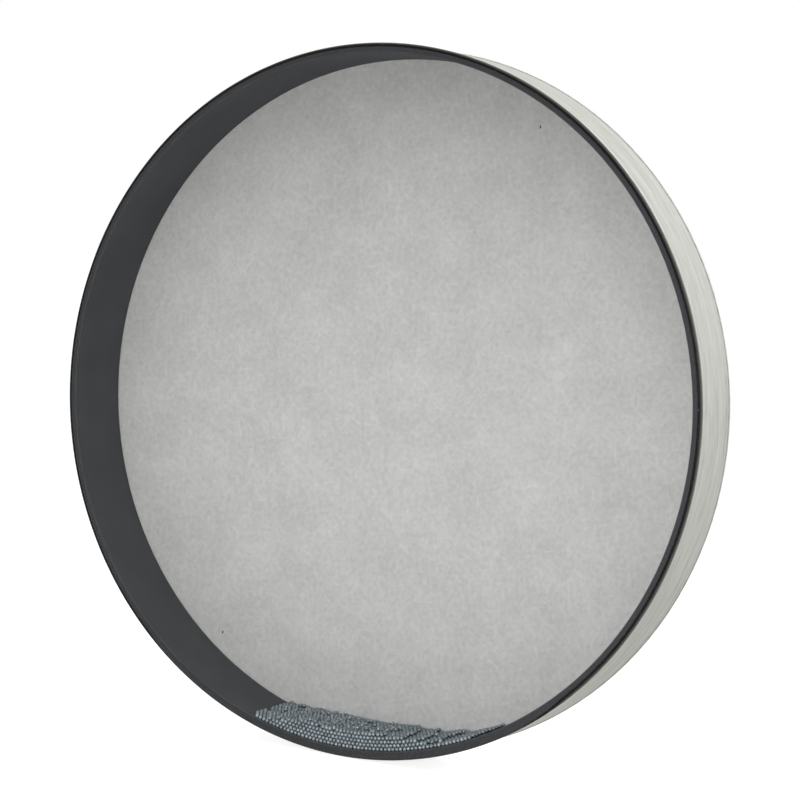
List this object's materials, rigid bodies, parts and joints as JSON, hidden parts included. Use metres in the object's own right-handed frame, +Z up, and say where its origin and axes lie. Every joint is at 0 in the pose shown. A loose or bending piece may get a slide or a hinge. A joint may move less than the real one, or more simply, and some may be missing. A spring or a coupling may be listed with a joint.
{
  "type": "ocean drum",
  "caption": "Shallow round drum with a clear fixed film head, a cloudy fibrous rear head, a pale wood-grain hoop and loose steel beads that roll inside with a sound like surf",
  "frame": {"origin": "the middle of the drum: on its axis, half way between the outer faces of the two heads", "axes": "+Y runs along the drum's axis from the clear front head to the fibrous rear head; +Z is up with the drum held on its edge and the beads lying at the bottom; +X is to the right seen from the front"},
  "size_m": [0.5588, 0.0636, 0.5588],
  "materials": {
    "dark_paint": "satin dark grey paint on wound wood fibre",
    "wood_grain_wrap": "matt printed whitewashed wood grain",
    "clear_film": "clear glossy polyester film",
    "fibre_film": "cloudy translucent fibrous film",
    "black_adhesive": "dark adhesive seen through film",
    "pale_adhesive": "pale adhesive",
    "bead_steel": "polished steel balls"
  },
  "bodies": {
    "drum": {"shell": "dark_paint", "shell_wrap": "wood_grain_wrap", "front_head": "clear_film", "rear_head": "fibre_film", "front_bond": "black_adhesive", "rear_bond": "pale_adhesive"},
    "beads": {"bead_row_01": "bead_steel", "bead_row_02": "bead_steel", "bead_row_03": "bead_steel", "bead_row_04": "bead_steel", "bead_row_05": "bead_steel", "bead_row_06": "bead_steel", "bead_row_07": "bead_steel", "bead_row_08": "bead_steel", "bead_row_09": "bead_steel", "bead_row_10": "bead_steel", "bead_row_11": "bead_steel", "bead_row_12": "bead_steel", "bead_row_13": "bead_steel", "bead_row_14": "bead_steel", "bead_row_15": "bead_steel", "bead_row_16": "bead_steel", "bead_row_17": "bead_steel", "bead_row_18": "bead_steel", "bead_row_19": "bead_steel"}
  },
  "joints": [
    {"name": "beads_roll", "type": "hinge", "parent": "drum", "child": "beads", "pos_m": [0, 0, 0], "axis": [0, 1, 0], "continuous": true}
  ]
}
